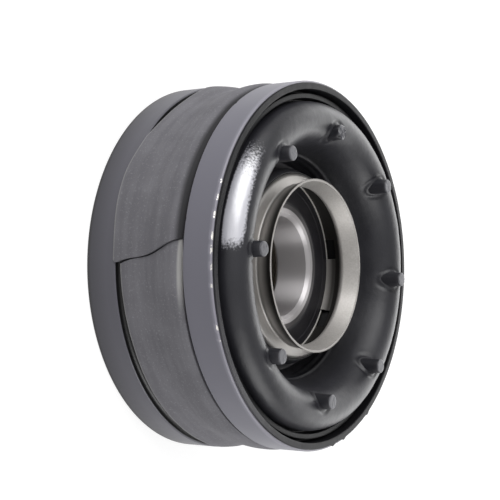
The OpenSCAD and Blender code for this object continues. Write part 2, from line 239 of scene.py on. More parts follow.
@dataclass(frozen=True)
class Finish:
    """A surface finish, made once as a node material and shared by the pieces that have it."""

    name: str
    colour: str
    roughness: float
    metallic: float = 0.0

    def material(self) -> bpy.types.Material:
        """Makes the material the first time, and gives the same one back after that.

        Returns:
            The node material.
        """
        known = bpy.data.materials.get(self.name)
        if known is not None:
            return known
        made = bpy.data.materials.new(self.name)
        made.use_nodes = True
        tree = made.node_tree
        tree.nodes.clear()
        plain = {"Base Color": self.colour, "Roughness": self.roughness, "Metallic": self.metallic}
        shader = add(tree, "BsdfPrincipled", plain)
        add(tree, "OutputMaterial", {"Surface": shader})
        self.dress(tree, shader, add(tree, "TexCoord").outputs["Object"])
        return made

    def dress(self, tree: Tree, shader: Node, where: Socket) -> None:
        """Adds the finish's own patterns.

        Args:
            tree: the material's node tree.
            shader: its surface shader.
            where: object coordinates.
        """
        raise NotImplementedError


@dataclass(frozen=True)
class PaintedSteel(Finish):
    """Dark electro-coat on rolled steel: satin, with painted light that brightens it towards the front,
    painted shade at the rear edge and in the channel, a pale front edge line that is partly worn paint and
    partly painted highlight, and bright chips.
    """

    name: str = "electro_coat_on_rolled_steel"
    colour: str = "#504f57"
    roughness: float = 0.4
    # painted light: the coat turns to this lighter colour towards the front rim
    front: str = "#6a6973"
    # painted shade: the coat darkens to this colour towards the rear edge
    painted_rear_shade: str = "#36353b"
    # partly worn paint and partly painted highlight: the pale line along the whole front edge
    rubbed_and_highlight: str = "#8d8b95"
    # painted shade: near-black on the channel's floor and side walls, seen in the gaps beside the strip, and
    # at the rear edge
    ring_painted_shade: str = "#0c0c0d"
    bare: str = "#dedbd6"
    rear_shade_mm: float = 8.0
    light_from_mm: float = 10.0
    light_full_mm: float = 40.0
    cloud_mm: float = 16.0
    chip_mm: float = 1.0
    peel_mm: float = 0.7

    def dress(self, tree: Tree, shader: Node, where: Socket) -> None:
        """Adds painted light towards the front, painted shade at the rear edge and in the channel, worn edges
        with a painted highlight line, and orange peel.
        """
        height = add(tree, "SeparateXYZ", {"Vector": where}).outputs["Z"]
        span = {"From Min": self.light_from_mm * MM, "From Max": self.light_full_mm * MM}
        # painted light: blend from the rear colour to the lighter front colour along the height
        thin = add(tree, "MapRange", {"Value": height, **span})
        painted_light = lay_coats(tree, self.colour, [(thin, self.front)])
        # painted shade: mask that darkens the coat towards the rear edge
        past_rear_shade = add(tree, "MapRange", {"Value": height, "From Max": self.rear_shade_mm * MM})
        coat = add(tree, "Mix", {0: past_rear_shade, 6: self.painted_rear_shade, 7: painted_light}, data_type="RGBA")
        wear, ring_shaded = (
            add(tree, "Attribute", attribute_name=mark).outputs["Fac"] for mark in ("wear", "ring_painted_shade")
        )
        rub_and_highlight = add(tree, "MapRange", {"Value": wear, "From Max": 0.5})
        chip = add(tree, "TexNoise", {"Vector": where, "Scale": per(self.chip_mm), "Detail": 3.0})
        loose = add(tree, "Math", {0: chip, 1: wear}, operation="MULTIPLY")
        lost = {"Value": loose, "From Min": 0.4, "From Max": 0.48}
        bare = add(tree, "MapRange", lost, interpolation_type="SMOOTHSTEP")
        skin = lay_coats(tree, coat, [(rub_and_highlight, self.rubbed_and_highlight), (bare, self.bare), (ring_shaded, self.ring_painted_shade)])
        cloud = add(tree, "TexNoise", {"Vector": where, "Scale": per(self.cloud_mm), "Detail": 4.0})
        satin = {"To Min": self.roughness - 0.06, "To Max": self.roughness + 0.1}
        rough = add(tree, "MapRange", {"Value": cloud, **satin})
        peel = add(tree, "TexNoise", {"Vector": where, "Scale": per(self.peel_mm), "Detail": 2.0})
        bump = add(tree, "Bump", {"Height": peel, "Strength": 0.12, "Distance": 0.05 * MM})
        feed(shader, {"Base Color": skin, "Metallic": bare, "Roughness": rough, "Normal": bump})


@dataclass(frozen=True)
class SheetRubber(Finish):
    """Calendered sheet rubber: dead matte, with pale dust in its pores and long streaks along the strip."""

    name: str = "calendered_sheet_rubber"
    colour: str = "#626166"
    roughness: float = 0.8
    dusty: str = "#6f6e73"
    speck: str = "#97969a"
    # painted highlight: pale colour on the lower end's front slope near the cut and along the rear edge
    cut_edge: str = "#a3a2a1"
    # painted shade: near-black in the valley at the front rim on the upper half, and on the strip's underside
    # and the foot of its sides
    painted_strip_shade: str = "#17161a"
    cloud_mm: float = 11.0
    streak_mm: float = 2.6
    streak_pull: float = 0.08
    speck_mm: float = 0.6
    pore_mm: float = 0.45

    def dress(self, tree: Tree, shader: Node, where: Socket) -> None:
        """Adds dust clouds, streaks along the strip, specks, painted highlight on the lower end's front edge
        near the cut and along the rear edge, painted shade in the front valley and on hidden faces, and
        pores.
        """
        along, across, edge, strip_shaded = (
            add(tree, "Attribute", attribute_name=mark).outputs["Fac"]
            for mark in ("along", "across", "edge", "painted_strip_shade")
        )
        slow = add(tree, "Math", {0: along, 1: self.streak_pull}, operation="MULTIPLY")
        strip = add(tree, "CombineXYZ", {"X": slow, "Y": across})
        streak = add(tree, "TexNoise", {"Vector": strip, "Scale": per(self.streak_mm), "Detail": 3.0})
        cloud = add(tree, "TexNoise", {"Vector": where, "Scale": per(self.cloud_mm), "Detail": 5.0})
        haze = add(tree, "Math", {0: streak, 1: cloud}, operation="ADD")
        speck = add(tree, "TexNoise", {"Vector": where, "Scale": per(self.speck_mm), "Detail": 2.0})
        dust, spot = (
            add(tree, "MapRange", span, interpolation_type="SMOOTHSTEP")
            for span in (
                {"Value": haze, "From Min": 0.75, "From Max": 1.3},
                {"Value": speck, "From Min": 0.56, "From Max": 0.74, "To Max": 0.36},
            )
        )
        coats = [(dust, self.dusty), (spot, self.speck), (edge, self.cut_edge), (strip_shaded, self.painted_strip_shade)]
        skin = lay_coats(tree, self.colour, coats)
        pore = add(tree, "TexNoise", {"Vector": where, "Scale": per(self.pore_mm), "Detail": 3.0})
        bump = add(tree, "Bump", {"Height": pore, "Strength": 0.35, "Distance": 0.12 * MM})
        feed(shader, {"Base Color": skin, "Normal": bump})


@dataclass(frozen=True)
class MouldedRubber(Finish):
    """Moulded natural rubber: near black and satin from the mould, with a wet-looking pale patch on the roll
    that is painted highlight.
    """

    name: str = "moulded_natural_rubber"
    colour: str = "#1b1b1f"
    roughness: float = 0.4
    sheen_level: float = 0.4
    dull_level: float = 0.05
    bloom: str = "#2a2a2f"
    # dust, and also painted highlight: the pale line on the roll's inner bead and the lighter lower side of
    # the lip
    dusty: str = "#47464b"
    # partly a duller rubber and partly painted shade: near-black on the lip, ledge, slot and groove, and on
    # the collar's bore
    torn: str = "#4b4b50"
    dull_and_groove_shade: str = "#060607"
    # painted highlight: a pale patch on the roll's upper outer flank, under a strong glossy coat
    painted_highlight: str = "#c2c2ca"
    highlight_coat_roughness: float = 0.3
    highlight_coat_ior: float = 2.2
    cloud_mm: float = 14.0
    grain_mm: float = 0.7

    def dress(self, tree: Tree, shader: Node, where: Socket) -> None:
        """Adds bloom clouds, a dull lip with painted shade in the slot and groove, dust with painted
        highlight on the bead and the lip's lower side, torn nub tips, the mould's grain and a pale glossy
        patch painted as highlight on the roll.
        """
        painted_highlight, torn, dust, dull = (
            add(tree, "Attribute", attribute_name=mark).outputs["Fac"]
            for mark in ("painted_highlight", "torn", "dust", "dull")
        )
        cloud = add(tree, "TexNoise", {"Vector": where, "Scale": per(self.cloud_mm), "Detail": 5.0})
        gloss = add(tree, "MapRange", {"Value": dull, "To Min": self.sheen_level, "To Max": self.dull_level})
        fine = {"Scale": per(self.grain_mm), "Detail": 3.0, "Roughness": 0.6}
        grain = add(tree, "TexNoise", {"Vector": where, **fine})
        # painted highlight: the grain breaks up the edge of the pale patch
        ragged = add(tree, "Math", {0: grain, 1: 3.6, 2: -0.7}, operation="MULTIPLY_ADD")
        broken = add(tree, "Mix", {0: painted_highlight, 2: ragged, 3: 1.0}, data_type="FLOAT")
        spread = add(tree, "Math", {0: painted_highlight, 1: broken}, operation="MULTIPLY")
        highlight_span = {"Value": spread, "From Min": 0.3, "From Max": 0.8}
        painted_light = add(tree, "MapRange", highlight_span, interpolation_type="SMOOTHSTEP")
        coats = [(cloud, self.bloom), (dull, self.dull_and_groove_shade), (dust, self.dusty)]
        coats += [(torn, self.torn), (painted_light, self.painted_highlight)]
        satin = {"To Min": self.roughness - 0.08, "To Max": self.roughness + 0.12}
        bump = add(tree, "Bump", {"Height": grain, "Strength": 0.3, "Distance": 0.16 * MM})
        feed(
            shader,
            {
                "Base Color": lay_coats(tree, self.colour, coats),
                "Roughness": add(tree, "MapRange", {"Value": cloud, **satin}),
                "Specular IOR Level": gloss,
                "Coat Weight": painted_light,
                "Coat Roughness": self.highlight_coat_roughness,
                "Coat IOR": self.highlight_coat_ior,
                "Normal": bump,
                "Coat Normal": bump,
            },
        )


@dataclass(frozen=True)
class SealRubber(Finish):
    """Moulded nitrile rubber: black and smooth, under a thin haze of dust."""

    name: str = "moulded_nitrile_rubber"
    colour: str = "#1a191c"
    roughness: float = 0.45
    dusty: str = "#2b2a2e"
    cloud_mm: float = 5.0

    def dress(self, tree: Tree, shader: Node, where: Socket) -> None:
        """Adds the haze of dust."""
        cloud = add(tree, "TexNoise", {"Vector": where, "Scale": per(self.cloud_mm), "Detail": 5.0})
        satin = {"To Min": self.roughness - 0.08, "To Max": self.roughness + 0.1}
        rough = add(tree, "MapRange", {"Value": cloud, **satin})
        feed(shader, {"Base Color": lay_coats(tree, self.colour, [(cloud, self.dusty)]), "Roughness": rough})


@dataclass(frozen=True)
class PressedSheet(Finish):
    """Pressed steel sheet under dull zinc: warm grey, soft reflections and a fine crystalline speckle."""

    name: str = "zinc_plated_pressed_sheet"
    colour: str = "#cfc8be"
    roughness: float = 0.42
    metallic: float = 0.4
    shade: str = "#bab2a7"
    cloud_mm: float = 7.0
    speckle_mm: float = 0.6

    def dress(self, tree: Tree, shader: Node, where: Socket) -> None:
        """Adds clouds in the plating and its speckle."""
        cloud = add(tree, "TexNoise", {"Vector": where, "Scale": per(self.cloud_mm), "Detail": 5.0})
        speckle = add(tree, "TexNoise", {"Vector": where, "Scale": per(self.speckle_mm), "Detail": 3.0})
        both = add(tree, "Math", {0: cloud, 1: speckle}, operation="ADD")
        tone = add(tree, "MapRange", {"Value": both, "From Min": 0.75, "From Max": 1.25})
        satin = {"To Min": self.roughness - 0.1, "To Max": self.roughness + 0.1}
        rough = add(tree, "MapRange", {"Value": both, "From Max": 2.0, **satin})
        bump = add(tree, "Bump", {"Height": speckle, "Strength": 0.1, "Distance": 0.05 * MM})
        skin = lay_coats(tree, self.colour, [(tone, self.shade)])
        feed(shader, {"Base Color": skin, "Roughness": rough, "Normal": bump})


@dataclass(frozen=True)
class SleeveSheet(PressedSheet):
    """The sleeve's sheet: bright inside the nose, with painted shade on its shoulder, round the outside of
    the nose and on the wall below the neck.
    """

    name: str = "phosphated_sleeve_sheet"
    colour: str = "#c0bdba"
    roughness: float = 0.4
    metallic: float = 0.65
    shade: str = "#afaca8"
    # painted shade: the shoulder's outer face is tinted darker
    drawn: str = "#a5a29f"
    # painted shade: near-black on the wall below the neck and round the outside of the nose
    painted_sleeve_shade: str = "#2b2927"
    cut_edge: str = "#625f5c"
    wall_mm: float = 30.8
    neck_shade_mm: float = 38.9
    nose_shade_mm: float = 43.2
    cone_mm: float = 14.17
    flare: float = 0.305

    def dress(self, tree: Tree, shader: Node, where: Socket) -> None:
        """Adds the plating's pattern, painted shade on the shoulder, on the wall below the neck and round the
        outside of the nose, and the cut edge.
        """
        super().dress(tree, shader, where)
        bare = shader.inputs["Base Color"].links[0].from_socket
        radius, height = round_axis(tree, where)
        cone = add(tree, "Math", {0: height, 1: -self.flare, 2: -self.cone_mm * MM}, operation="MULTIPLY_ADD")
        depth = add(tree, "Math", {0: radius, 1: cone}, operation="ADD")
        wall, below, outside, nose = (
            add(tree, "MapRange", {"Value": value, "From Min": start * MM, "From Max": end * MM})
            for value, start, end in (
                (radius, self.wall_mm - 1.2, self.wall_mm),
                (height, self.neck_shade_mm, self.neck_shade_mm - 0.8),
                (depth, 0.45, 0.7),
                (height, self.nose_shade_mm, self.nose_shade_mm + 3.2),
            )
        )
        # painted shade: the wall below the neck, and the outside of the nose near its front edge
        inside = add(tree, "Math", {0: wall, 1: below}, operation="MULTIPLY")
        nose_shade = add(tree, "Math", {0: outside, 1: nose}, operation="MULTIPLY")
        dark = add(tree, "Math", {0: inside, 1: nose_shade}, operation="MAXIMUM")
        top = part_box("bearing_sleeve")[1][2]
        rim = {"From Min": top - 0.1 * MM, "From Max": top - 0.02 * MM, "To Max": 0.8}
        edge = add(tree, "MapRange", {"Value": height, **rim})
        coats = [(outside, self.drawn), (dark, self.painted_sleeve_shade), (edge, self.cut_edge)]
        feed(shader, {"Base Color": lay_coats(tree, bare, coats)})


@dataclass(frozen=True)
class GroundSteel(Finish):
    """Ground bearing steel: fine grinding lines round the axis draw the lights out into bands along it."""

    name: str = "ground_bearing_steel"
    colour: str = "#c6c3c4"
    roughness: float = 0.48
    metallic: float = 1.0
    # painted shade: the outer ring of the end face is tinted darker to dim its reflection
    face: str = "#656364"
    shaded_face_mm: float = 20.1
    land_mm: float = 22.4
    spread: float = 0.92
    spread_turn: float = 0.25
    line_mm: float = 0.3
    line_depth_mm: float = 0.02

    def dress(self, tree: Tree, shader: Node, where: Socket) -> None:
        """Adds grinding lines, drawn coarser than the real ones so that they show, and painted shade on the
        outer ring of the end face.
        """
        radius, height = round_axis(tree, where)
        outer, land = (
            add(tree, "MapRange", {"Value": radius, "From Min": start * MM, "From Max": (start + blend) * MM})
            for start, blend in ((self.shaded_face_mm, 0.3), (self.land_mm, 0.1))
        )
        face = add(tree, "Math", {0: outer, 1: land}, operation="SUBTRACT")
        ring = add(tree, "CombineXYZ", {"X": radius, "Z": height})
        line = add(tree, "TexNoise", {"Vector": ring, "Scale": per(self.line_mm), "Detail": 3.0})
        bump = add(tree, "Bump", {"Height": line, "Strength": 1.0, "Distance": self.line_depth_mm * MM})
        feed(
            shader,
            {
                "Base Color": lay_coats(tree, self.colour, [(face, self.face)]),
                "Normal": bump,
                "Anisotropic": self.spread,
                "Anisotropic Rotation": self.spread_turn,
                "Tangent": add(tree, "Tangent", direction_type="RADIAL", axis="Z"),
            },
        )


PAINT = PaintedSteel()
STRIP_RUBBER = SheetRubber()
CUSHION_RUBBER = MouldedRubber()
SEAL_RUBBER = SealRubber()
SLEEVE_SHEET = SleeveSheet()
COVER_SHEET = PressedSheet()
# painted highlight: near-white and barely metallic, so that the core's thin rim reads as a bright line
PAINTED_HIGHLIGHT_CORE = PressedSheet(
    name="steel_core_with_painted_highlight", colour="#f4f2ee", roughness=0.3, metallic=0.25, shade="#ece9e2"
)
CAGE_SHEET = PressedSheet(name="pressed_cage_sheet", colour="#b3aea3", roughness=0.32, shade="#99948a")
RACE_STEEL = GroundSteel()
BALL_STEEL = GroundSteel(
    name="lapped_ball_steel", colour="#d2d2d0", roughness=0.1, face="#d2d2d0", spread=0.0, line_depth_mm=0.0
)


def make_piece(bm: BMesh, name: str, finish: Finish, node: str) -> Piece:
    """Turns a mesh into a finished piece that stands for one node of the frame.

    Args:
        bm: the mesh, which is freed.
        name: the piece's name.
        finish: its surface.
        node: the node that it replaces.

    Returns:
        The new object.
    """
    mesh = bpy.data.meshes.new(name)
    bm.to_mesh(mesh)
    bm.free()
    mesh.shade_smooth()
    mesh.materials.append(finish.material())
    piece = bpy.data.objects.new(name, mesh)
    bpy.context.scene.collection.objects.link(piece)
    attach(piece, Body.HOUSING.value)
    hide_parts(node)
    LOG.info("%s stands for %s with %d faces", name, node, len(mesh.polygons))
    return piece


def even_shading(piece: Piece) -> None:
    """Lets the broad faces of a piece set the shading of its rounded edges."""
    weights = piece.modifiers.new("even_shading", "WEIGHTED_NORMAL")
    weights.keep_sharp = True


@dataclass(frozen=True)
class Nick:
    """A small dent in an edge of the ring."""

    angle: float
    height: float
    width: float = 1.2 * MM
    depth: float = 0.3 * MM


@dataclass
class OuterRing:
    """The rolled steel ring: a channel between two rims."""

    front_r: float = 62.5 * MM
    wall: float = 2.0 * MM
    rear_h: float = 11.8 * MM
    front_h: float = 10.9 * MM
    channel_depth: float = 2.3 * MM
    edge_r: float = 0.6 * MM
    # painted shade: extra darkening over the last millimetres of the rear edge
    rear_edge_shade: float = 0.7
    rear_edge_shade_z: tuple[float, float] = (0.7 * MM, 1.8 * MM)
    sections: int = 540
    worn_at: tuple[float, ...] = (-114.75, -110.0, -105.0, -99.0, -95.0, -90.5, -85.0, -73.0, -69.5)
    worn_mm: tuple[float, ...] = (0.9, 1.1, 1.5, 1.7, 2.0, 1.6, 0.7, 1.6, 0.6)
    rear_r: float = field(init=False)
    height: float = field(init=False)

    def __post_init__(self) -> None:
        """Takes the overall sizes from the frame."""
        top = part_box("outer_ring")[1]
        self.rear_r = top[0]
        self.height = top[2]

    @property
    def front_z(self) -> float:
        """Height at which the front rim starts."""
        return self.height - self.front_h

    @property
    def floor_r(self) -> float:
        """Outer radius of the channel's floor."""
        return self.front_r - self.channel_depth

    def outline(self) -> Outline:
        """Gives the ring's section, from the rear edge up its outside and down its inside."""
        e = self.edge_r
        inner = self.floor_r - self.wall
        return [
            *arc((self.rear_r - e, e), e, -90, 0),
            *stretch((self.rear_r, 1.2 * e), (self.rear_r, self.rear_h - 1.2 * e), 30),
            *arc((self.rear_r - e, self.rear_h - e), e, 0, 90),
            (self.floor_r, self.rear_h),
            (self.floor_r, self.front_z),
            *arc((self.front_r - e, self.front_z + e), e, -90, 0),
            *stretch((self.front_r, self.front_z + 1.2 * e), (self.front_r, self.height - 1.2 * e), 12),
            *arc((self.front_r - e, self.height - e), e, 0, 90),
            (self.front_r - self.wall, self.height),
            (self.front_r - self.wall, self.front_z + self.wall),
            (inner, self.front_z + self.wall),
            (inner, self.rear_h - self.wall),
            (self.rear_r - self.wall, self.rear_h - self.wall),
            (self.rear_r - self.wall, 0.0),
        ]

    def nicks(self) -> list[Nick]:
        """Lists the dents that handling left in the rims' edges."""
        front_edge = [Nick(angle, self.height, 0.9 * MM, 0.2 * MM) for angle in self.worn_at]
        return [Nick(-148, self.front_z), Nick(-104, self.front_z, 0.8 * MM, 0.2 * MM), *front_edge]

    def wear(self, radius: float, angle: float, z: float) -> float:
        """Gives how far the paint is chipped at a point, with a pale line along the whole front edge that is
        partly worn paint and partly painted highlight.

        Args:
            radius: distance from the axis.
            angle: angle round the ring in degrees.
            z: height.

        Returns:
            0 where the paint is sound, 0.5 along the pale front edge line, which is partly painted highlight,
            and 1 where it is chipped.
        """
        # partly painted highlight: the whole front edge gets a pale line, and the chips add to it
        edge = smooth_step(z, self.height - 1.7 * self.edge_r, self.height - 0.4 * self.edge_r)
        edge *= smooth_step(radius, self.front_r - 1.6 * self.edge_r, self.front_r - 0.8 * self.edge_r)
        chips = 0.0
        for middle, half_mm in zip(self.worn_at, self.worn_mm):
            away = abs(math.radians(turn_from(angle, middle))) * self.front_r
            chips = max(chips, 1 - smooth_step(away, 0.5 * half_mm * MM, half_mm * MM))
        return edge * (0.45 + 0.55 * chips)

    def build(self) -> None:
        """Models the ring with its nicks and worn edges."""
        bm = spin_outline(self.outline(), self.sections)
        worn = bm.verts.layers.float.new("wear")
        ring_painted_shade = bm.verts.layers.float.new("ring_painted_shade")
        nicks = self.nicks()
        for corner in bm.verts:
            radius = corner.co.xy.length
            angle = angle_of(corner.co)
            # painted shade: the channel's floor and side walls are marked near-black
            if radius < self.floor_r + 0.5 * MM:
                corner[ring_painted_shade] = float(self.rear_h <= corner.co.z <= self.front_z)
                continue
            side = min(abs(corner.co.z - self.rear_h), abs(corner.co.z - self.front_z))
            # painted shade at the rear edge, on top of the channel's painted shade
            rear_edge_shade = self.rear_edge_shade * (1 - smooth_step(corner.co.z, *self.rear_edge_shade_z))
            corner[ring_painted_shade] = max(float(side < 0.05 * MM), rear_edge_shade)
            corner[worn] = self.wear(radius, angle, corner.co.z)
            for nick in nicks:
                reach = math.radians(turn_from(angle, nick.angle)) * self.front_r
                away = math.hypot(reach, corner.co.z - nick.height)
                if away < nick.width:
                    corner.co.xy *= 1 - nick.depth / self.front_r * (1 - smooth_step(away, 0, nick.width))
        even_shading(make_piece(bm, "steel_ring", PAINT, "outer_ring"))


@dataclass
class InsulatorStrip:
    """The rubber strip in the ring's channel: a sheet wrapped once round to a slanting cut."""

    ring: OuterRing
    proud: float = 0.3 * MM
    side_gap: float = 0.15 * MM
    joint_angle: float = -95.0
    joint_lean: float = 7.8 * MM
    joint_bow: float = 0.9 * MM
    joint_wave: float = 0.35 * MM
    joint_gap: float = 0.1 * MM
    end_gap: float = 2.7 * MM
    corner_r: float = 1.1 * MM
    thin_gap: float = 1.9 * MM
    thin_gap_angle: float = -150.0
    thin_gap_reach: float = 18.0
    gap_share: float = 0.64
    gap_full_at: float = -62.0
    gap_fade: float = 30.0
    flap: float = 1.7 * MM
    flap_share: float = 0.4
    flap_full: float = 18.0
    flap_fade: tuple[float, float] = (22.0, 38.0)
    facet_from: float = 1.6 * MM
    facet_full: float = 1.3 * MM
    facet_fade: tuple[float, float] = (11 * MM, 25 * MM)
    strip_shade_from: float = 2.9 * MM
    strip_shade_full: float = 1.1 * MM
    rear_highlight_w: float = 0.7 * MM
    front_gap: float = 1.1 * MM
    valley: float = 0.2 * MM
    dip: float = 0.8 * MM
    valley_dip: float = 1.5 * MM
    dip_len: float = 2.2 * MM
    crown: float = 0.2 * MM
    crown_turn: float = 38.0
    crown_z: float = 31 * MM
    crown_w: float = 4 * MM
    waist: float = 1.9 * MM
    waist_z: float = 22.5 * MM
    waist_w: float = 5.5 * MM
    sag: float = 0.6 * MM
    sag_len: float = 7 * MM
    ripple: float = 0.05 * MM
    billow: float = 0.12 * MM
    lap: float = 0.8 * MM
    lap_len: float = 9.0 * MM
    turns: int = 620
    rows: int = 40

    @property
    def most_r(self) -> float:
        """Largest radius of the strip, just inside its solid's."""
        return self.ring.rear_r + self.proud - 0.03 * MM

    def cut_angle(self, share: float) -> float:
        """Gives the angle of the cut, at a share of the way from the rear edge to the front edge."""
        side = self.joint_lean * (0.5 - share)
        side += self.joint_bow * math.sin(math.pi * share)
        side -= self.joint_wave * math.sin(3 * math.pi * share)
        return self.joint_angle + math.degrees(side / self.ring.front_r)

    def above(self, angle: float) -> float:
        """Gives 1 on the upper side of the ring, from the cut past the top, and 0 on the lower side."""
        return smooth_step(90.0 - abs(turn_from(angle, 178.0)), -25.0, 5.0)

    def rear_gap(self, angle: float, lower: bool) -> float:
        """Gives how far the strip's rear edge stands off the rear rim, on its lower or its upper half."""
        gap = self.side_gap
        if lower:
            share = self.gap_share
            share += (1 - share) * smooth_step(angle, self.joint_angle, self.gap_full_at)
            gap += self.end_gap * share * smooth_step(-angle, 0.0, self.gap_fade)
        level = math.cos(math.radians(self.thin_gap_reach))
        rise = math.cos(math.radians(turn_from(angle, self.thin_gap_angle))) - level
        gap += self.thin_gap * max(0.0, rise) / (1 - level)
        if not lower:
            from_end = -turn_from(angle, self.joint_angle)
            share = self.flap_share
            share += (1 - share) * smooth_step(from_end, 0.0, self.flap_full)
            gap -= (self.flap + self.side_gap) * share * (1 - smooth_step(from_end, *self.flap_fade))
        return gap

    def place(self, along: float, across: float, outer: bool) -> Vector:
        """Gives the place of one point of the strip.

        Args:
            along: share of the way round, from the lower end to the upper end.
            across: share of the way from the rear edge to the front edge.
            outer: whether the point is on the outer face or on the channel's floor.

        Returns:
            The place in the frame.
        """
        ring = self.ring
        start = self.cut_angle(across)
        end = start + 360.0 - math.degrees(self.joint_gap / ring.front_r)
        corner = max(0.0, 1 - across * (ring.front_z - ring.rear_h) / self.corner_r)
        end -= math.degrees(self.corner_r / ring.front_r) * (1 - math.sqrt(1 - corner * corner))
        angle = start + (end - start) * along
        up = self.above(angle)
        low = ring.rear_h + self.rear_gap(angle, along < 0.5)
        high = ring.front_z - self.front_gap - self.valley * up
        z = low + (high - low) * across
        on_rim = 1 - smooth_step(z, ring.rear_h, ring.rear_h + 0.8 * MM)
        radius = ring.floor_r + 0.02 * MM
        if low < ring.rear_h:
            radius += (ring.rear_r - ring.floor_r) * on_rim
        if outer:
            radius = self.face_radius(angle, z, high, along)
        if outer and low < ring.rear_h:
            radius = max(radius, radius + (self.most_r - radius) * on_rim)
        a = math.radians(angle)
        return Vector((radius * math.cos(a), radius * math.sin(a), z))

    def face_radius(self, angle: float, z: float, edge_z: float, along: float) -> float:
        """Gives the radius of the strip's outer face.

        Args:
            angle: angle round the ring in degrees.
            z: height.
            edge_z: height of the front edge at that angle.
            along: share of the way round the ring.

        Returns:
            The radius, never past the solid strip's.
        """
        ring = self.ring
        share = (z - ring.rear_h) / (ring.front_z - ring.rear_h)
        radius = ring.rear_r + (ring.front_r - ring.rear_r) * share + self.proud
        up = self.above(angle)
        reach = max(0.0, z - edge_z + self.dip_len * (1 + up)) / (self.dip_len * (1 + up))
        radius -= (self.dip + self.valley_dip * up) * reach * reach
        top = hump(turn_from(angle, 180.0), 0.0, self.crown_turn)
        radius += self.crown * top * hump(z, self.crown_z, self.crown_w)
        slack = 0.3 + 0.7 * math.cos(math.radians(angle)) ** 2
        radius -= self.waist * slack * hump(z, self.waist_z, self.waist_w)
        gap = max(0.0, self.rear_gap(angle, along < 0.5) - self.side_gap) / self.thin_gap
        radius -= self.sag * min(1.0, gap) * (1 - smooth_step(z, ring.rear_h, ring.rear_h + self.sag_len))
        from_cut = along * math.tau * ring.front_r
        radius -= self.lap * math.exp(-from_cut / self.lap_len) * smooth_step(share, 0.0, 0.7)
        turn_x, turn_y = math.cos(along * math.tau), math.sin(along * math.tau)
        slow = Vector((12.0 * turn_x, 12.0 * turn_y, z / (2.6 * MM)))
        broad = Vector((3.0 * turn_x, 3.0 * turn_y, z / (9 * MM)))
        radius += self.ripple * noise.noise(slow) + self.billow * (noise.noise(broad) - 0.5)
        return min(radius, self.most_r)

    def build(self) -> None:
        """Models the strip from one sheet that is raised from the channel's floor."""
        bm = bmesh.new()
        bmesh.ops.create_grid(bm, x_segments=self.turns, y_segments=self.rows, size=0.5)
        for mark in ("along", "across", "edge", "painted_strip_shade"):
            bm.verts.layers.float.new(mark)
        along, across, edge, painted_strip_shade = bm.verts.layers.float.values()
        for corner in bm.verts:
            share_along, share_across = corner.co.x + 0.5, corner.co.y + 0.5
            # painted shade: the underside starts fully dark, which also darkens the foot of the sides
            corner[along], corner[across], corner[painted_strip_shade] = share_along, share_across, 1.0
            corner.co = self.place(share_along, share_across, outer=False)
        raised = bmesh.ops.extrude_face_region(bm, geom=list(bm.faces), use_keep_orig=True)["geom"]
        width = self.ring.front_z - self.ring.rear_h
        for corner in raised:
            if not isinstance(corner, bmesh.types.BMVert):
                continue
            share_along, share_across = corner[along], corner[across]
            corner.co = self.place(share_along, share_across, outer=True)
            up = share_across * width
            near_cut = 1 - smooth_step(share_along * math.tau * self.ring.front_r, *self.facet_fade)
            # painted highlight on the lower end's front slope near the cut
            facet_highlight = smooth_step(up, width - self.facet_from, width - self.facet_full) * near_cut
            # painted highlight: a pale line along the rear edge
            rear_edge_highlight = 0.5 * (1 - smooth_step(up, 0.0, self.rear_highlight_w))
            corner[edge] = min(1.0, facet_highlight + rear_edge_highlight)
            # painted shade in the valley at the front rim, on the upper half
            in_valley_shade = smooth_step(up, width - self.strip_shade_from, width - self.strip_shade_full)
            corner[painted_strip_shade] = in_valley_shade * self.above(angle_of(corner.co)) * smooth_step(share_along, 0.3, 0.4)
        for corner in bm.verts:
            corner[along] *= math.tau * self.ring.front_r
            corner[across] *= width
        bmesh.ops.recalc_face_normals(bm, faces=bm.faces)
        strip = make_piece(bm, "rubber_strip", STRIP_RUBBER, "insulator_strip")
        rounding = strip.modifiers.new("rounded_edges", "BEVEL")
        rounding.width = 0.13 * MM
        rounding.segments = 3
        rounding.limit_method = "ANGLE"
        rounding.angle_limit = math.radians(50)
        even_shading(strip)


